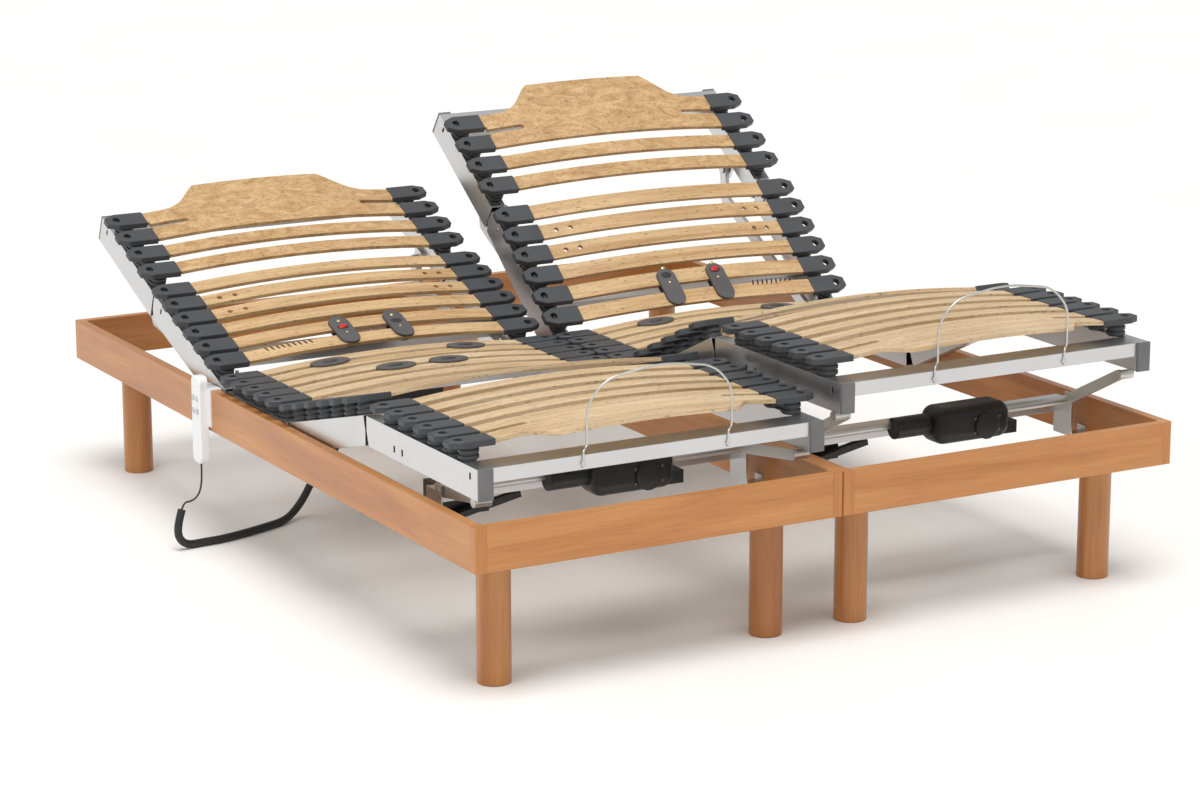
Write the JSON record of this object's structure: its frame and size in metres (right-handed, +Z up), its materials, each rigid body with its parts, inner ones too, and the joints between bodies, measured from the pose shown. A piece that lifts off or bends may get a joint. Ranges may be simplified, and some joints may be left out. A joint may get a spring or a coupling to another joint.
{
  "type": "adjustable bed base",
  "caption": "Adjustable double bed base: wooden boxes on round legs carry motor-driven slat frames whose head, back, thigh and calf sections tilt.",
  "frame": {"origin": "on the floor, at the centre of the overall box of the base without its cable", "axes": "+X across the bed to its right side seen from the foot, +Y from foot to head, +Z up"},
  "size_m": [1.6901, 2, 0.8459],
  "materials": {
    "box_wood": "satin cherry-stained beech",
    "leg_wood": "satin cherry-stained beech",
    "slat_wood": "laminated beech, clear lacquer",
    "steel": "zinc plated",
    "rail_metal": "satin silver",
    "arm_metal": "satin silver",
    "shaft_metal": "satin",
    "cap_plastic": "mid grey",
    "holder_plastic": "anthracite",
    "clip_plastic": "grey",
    "drive_plastic": "black",
    "handset_plastic": "white",
    "button_plastic": "grey",
    "cable_skin": "black",
    "sleeve_skin": "black braided sleeve",
    "hoop_wire": "cream coating"
  },
  "bodies": {
    "root": {"side_boards": "box_wood", "end_boards": "box_wood", "corner_posts": "box_wood", "legs": "leg_wood", "leg_studs": "steel", "leg_plates": "steel", "seat_rails": "rail_metal", "seat_cross_rails": "rail_metal", "seat_slats": "slat_wood", "seat_holders": "holder_plastic", "slat_clips": "clip_plastic", "frame_brackets": "steel", "cross_rails": "rail_metal", "drive_units": "drive_plastic", "handset_body": "handset_plastic", "handset_holder": "handset_plastic", "handset_cable": "cable_skin", "cable_sleeve": "sleeve_skin"},
    "left_back": {"left_back_frame": "rail_metal", "left_back_slats": "slat_wood", "left_back_holders": "holder_plastic"},
    "left_head": {"left_head_frame": "rail_metal", "left_head_caps": "cap_plastic", "left_head_slats": "slat_wood", "left_head_holders": "holder_plastic"},
    "left_arms": {"left_head_arms": "arm_metal"},
    "left_thigh": {"left_thigh_rails": "rail_metal", "left_thigh_slats": "slat_wood", "left_thigh_holders": "holder_plastic"},
    "left_calf": {"left_calf_frame": "rail_metal", "left_calf_caps": "cap_plastic", "left_calf_slats": "slat_wood", "left_calf_holders": "holder_plastic", "left_mattress_hoop": "hoop_wire"},
    "left_lift": {"left_lift_shaft": "shaft_metal"},
    "left_slider_a": {"left_slider_a": "clip_plastic"},
    "left_slider_b": {"left_slider_b": "clip_plastic"},
    "right_back": {"right_back_frame": "rail_metal", "right_back_slats": "slat_wood", "right_back_holders": "holder_plastic"},
    "right_head": {"right_head_frame": "rail_metal", "right_head_caps": "cap_plastic", "right_head_slats": "slat_wood", "right_head_holders": "holder_plastic"},
    "right_arms": {"right_head_arms": "arm_metal"},
    "right_thigh": {"right_thigh_rails": "rail_metal", "right_thigh_slats": "slat_wood", "right_thigh_holders": "holder_plastic"},
    "right_calf": {"right_calf_frame": "rail_metal", "right_calf_caps": "cap_plastic", "right_calf_slats": "slat_wood", "right_calf_holders": "holder_plastic", "right_mattress_hoop": "hoop_wire"},
    "right_lift": {"right_lift_shaft": "shaft_metal"},
    "right_slider_a": {"right_slider_a": "clip_plastic"},
    "right_slider_b": {"right_slider_b": "clip_plastic"},
    "button_back_up": {"button_back_up": "button_plastic"},
    "button_back_down": {"button_back_down": "button_plastic"},
    "button_legs_up": {"button_legs_up": "button_plastic"},
    "button_legs_down": {"button_legs_down": "button_plastic"}
  },
  "joints": [
    {"name": "left_back_hinge", "type": "hinge", "parent": "root", "child": "left_back", "pos_m": [-0.38775, 0.188, 0.339], "axis": [1, 0, 0], "range_deg": [-19.5, 40.5]},
    {"name": "left_head_hinge", "type": "hinge", "parent": "left_back", "child": "left_head", "pos_m": [-0.38775, 0.57448, 0.47586], "axis": [1, 0, 0], "range_deg": [-3.02, 6.25]},
    {"name": "left_arm_hinge", "type": "hinge", "parent": "left_head", "child": "left_arms", "pos_m": [-0.38775, 0.70799, 0.46189], "axis": [1, 0, 0], "range_deg": [-2.81, 1.37]},
    {"name": "left_thigh_hinge", "type": "hinge", "parent": "root", "child": "left_thigh", "pos_m": [-0.38775, -0.128, 0.339], "axis": [-1, 0, 0], "range_deg": [-14.8, 20.2]},
    {"name": "left_knee_hinge", "type": "hinge", "parent": "left_thigh", "child": "left_calf", "pos_m": [-0.38775, -0.49379, 0.41082], "axis": [1, 0, 0], "range_deg": [-14.82, 20.22]},
    {"name": "left_lift_hinge", "type": "hinge", "parent": "root", "child": "left_lift", "pos_m": [-0.38775, -0.735, 0.341], "axis": [-1, 0, 0], "range_deg": [-28.88, 39.41]},
    {"name": "left_slider_a_slide", "type": "slide", "parent": "left_back", "child": "left_slider_a", "axis": [-1, 0, 0], "range_m": [-0.02, 0.06]},
    {"name": "left_slider_b_slide", "type": "slide", "parent": "left_back", "child": "left_slider_b", "axis": [1, 0, 0], "range_m": [-0.02, 0.06]},
    {"name": "right_back_hinge", "type": "hinge", "parent": "root", "child": "right_back", "pos_m": [0.41325, 0.188, 0.339], "axis": [1, 0, 0], "range_deg": [-40, 20]},
    {"name": "right_head_hinge", "type": "hinge", "parent": "right_back", "child": "right_head", "pos_m": [0.41325, 0.50208, 0.60254], "axis": [1, 0, 0], "range_deg": [-2.52, 5.02]},
    {"name": "right_arm_hinge", "type": "hinge", "parent": "right_head", "child": "right_arms", "pos_m": [0.41325, 0.63545, 0.6178], "axis": [1, 0, 0], "range_deg": [-5.42, 2.72]},
    {"name": "right_thigh_hinge", "type": "hinge", "parent": "root", "child": "right_thigh", "pos_m": [0.41325, -0.128, 0.339], "axis": [-1, 0, 0], "range_deg": [-24.7, 10.3]},
    {"name": "right_knee_hinge", "type": "hinge", "parent": "right_thigh", "child": "right_calf", "pos_m": [0.41325, -0.47599, 0.47264], "axis": [1, 0, 0], "range_deg": [-24.72, 10.32]},
    {"name": "right_lift_hinge", "type": "hinge", "parent": "root", "child": "right_lift", "pos_m": [0.41325, -0.735, 0.341], "axis": [-1, 0, 0], "range_deg": [-48.19, 20.11]},
    {"name": "right_slider_a_slide", "type": "slide", "parent": "right_back", "child": "right_slider_a", "axis": [-1, 0, 0], "range_m": [-0.02, 0.06]},
    {"name": "right_slider_b_slide", "type": "slide", "parent": "right_back", "child": "right_slider_b", "axis": [1, 0, 0], "range_m": [-0.02, 0.06]},
    {"name": "press_back_up", "type": "slide", "parent": "root", "child": "button_back_up", "axis": [1, 0, 0], "range_m": [0, 0.001], "stiffness_N_per_m": 400},
    {"name": "press_back_down", "type": "slide", "parent": "root", "child": "button_back_down", "axis": [1, 0, 0], "range_m": [0, 0.001], "stiffness_N_per_m": 400},
    {"name": "press_legs_up", "type": "slide", "parent": "root", "child": "button_legs_up", "axis": [1, 0, 0], "range_m": [0, 0.001], "stiffness_N_per_m": 400},
    {"name": "press_legs_down", "type": "slide", "parent": "root", "child": "button_legs_down", "axis": [1, 0, 0], "range_m": [0, 0.001], "stiffness_N_per_m": 400}
  ],
  "couplings": [
    {"joint": "left_head_hinge", "follows": "left_back_hinge", "ratio": 0.15385},
    {"joint": "left_arm_hinge", "follows": "left_back_hinge", "ratio": -0.069},
    {"joint": "left_knee_hinge", "follows": "left_thigh_hinge", "ratio": 1},
    {"joint": "left_lift_hinge", "follows": "left_thigh_hinge", "ratio": 1.95},
    {"joint": "right_head_hinge", "follows": "right_back_hinge", "ratio": -0.125},
    {"joint": "right_arm_hinge", "follows": "right_back_hinge", "ratio": 0.135},
    {"joint": "right_knee_hinge", "follows": "right_thigh_hinge", "ratio": 1},
    {"joint": "right_lift_hinge", "follows": "right_thigh_hinge", "ratio": 1.95}
  ]
}
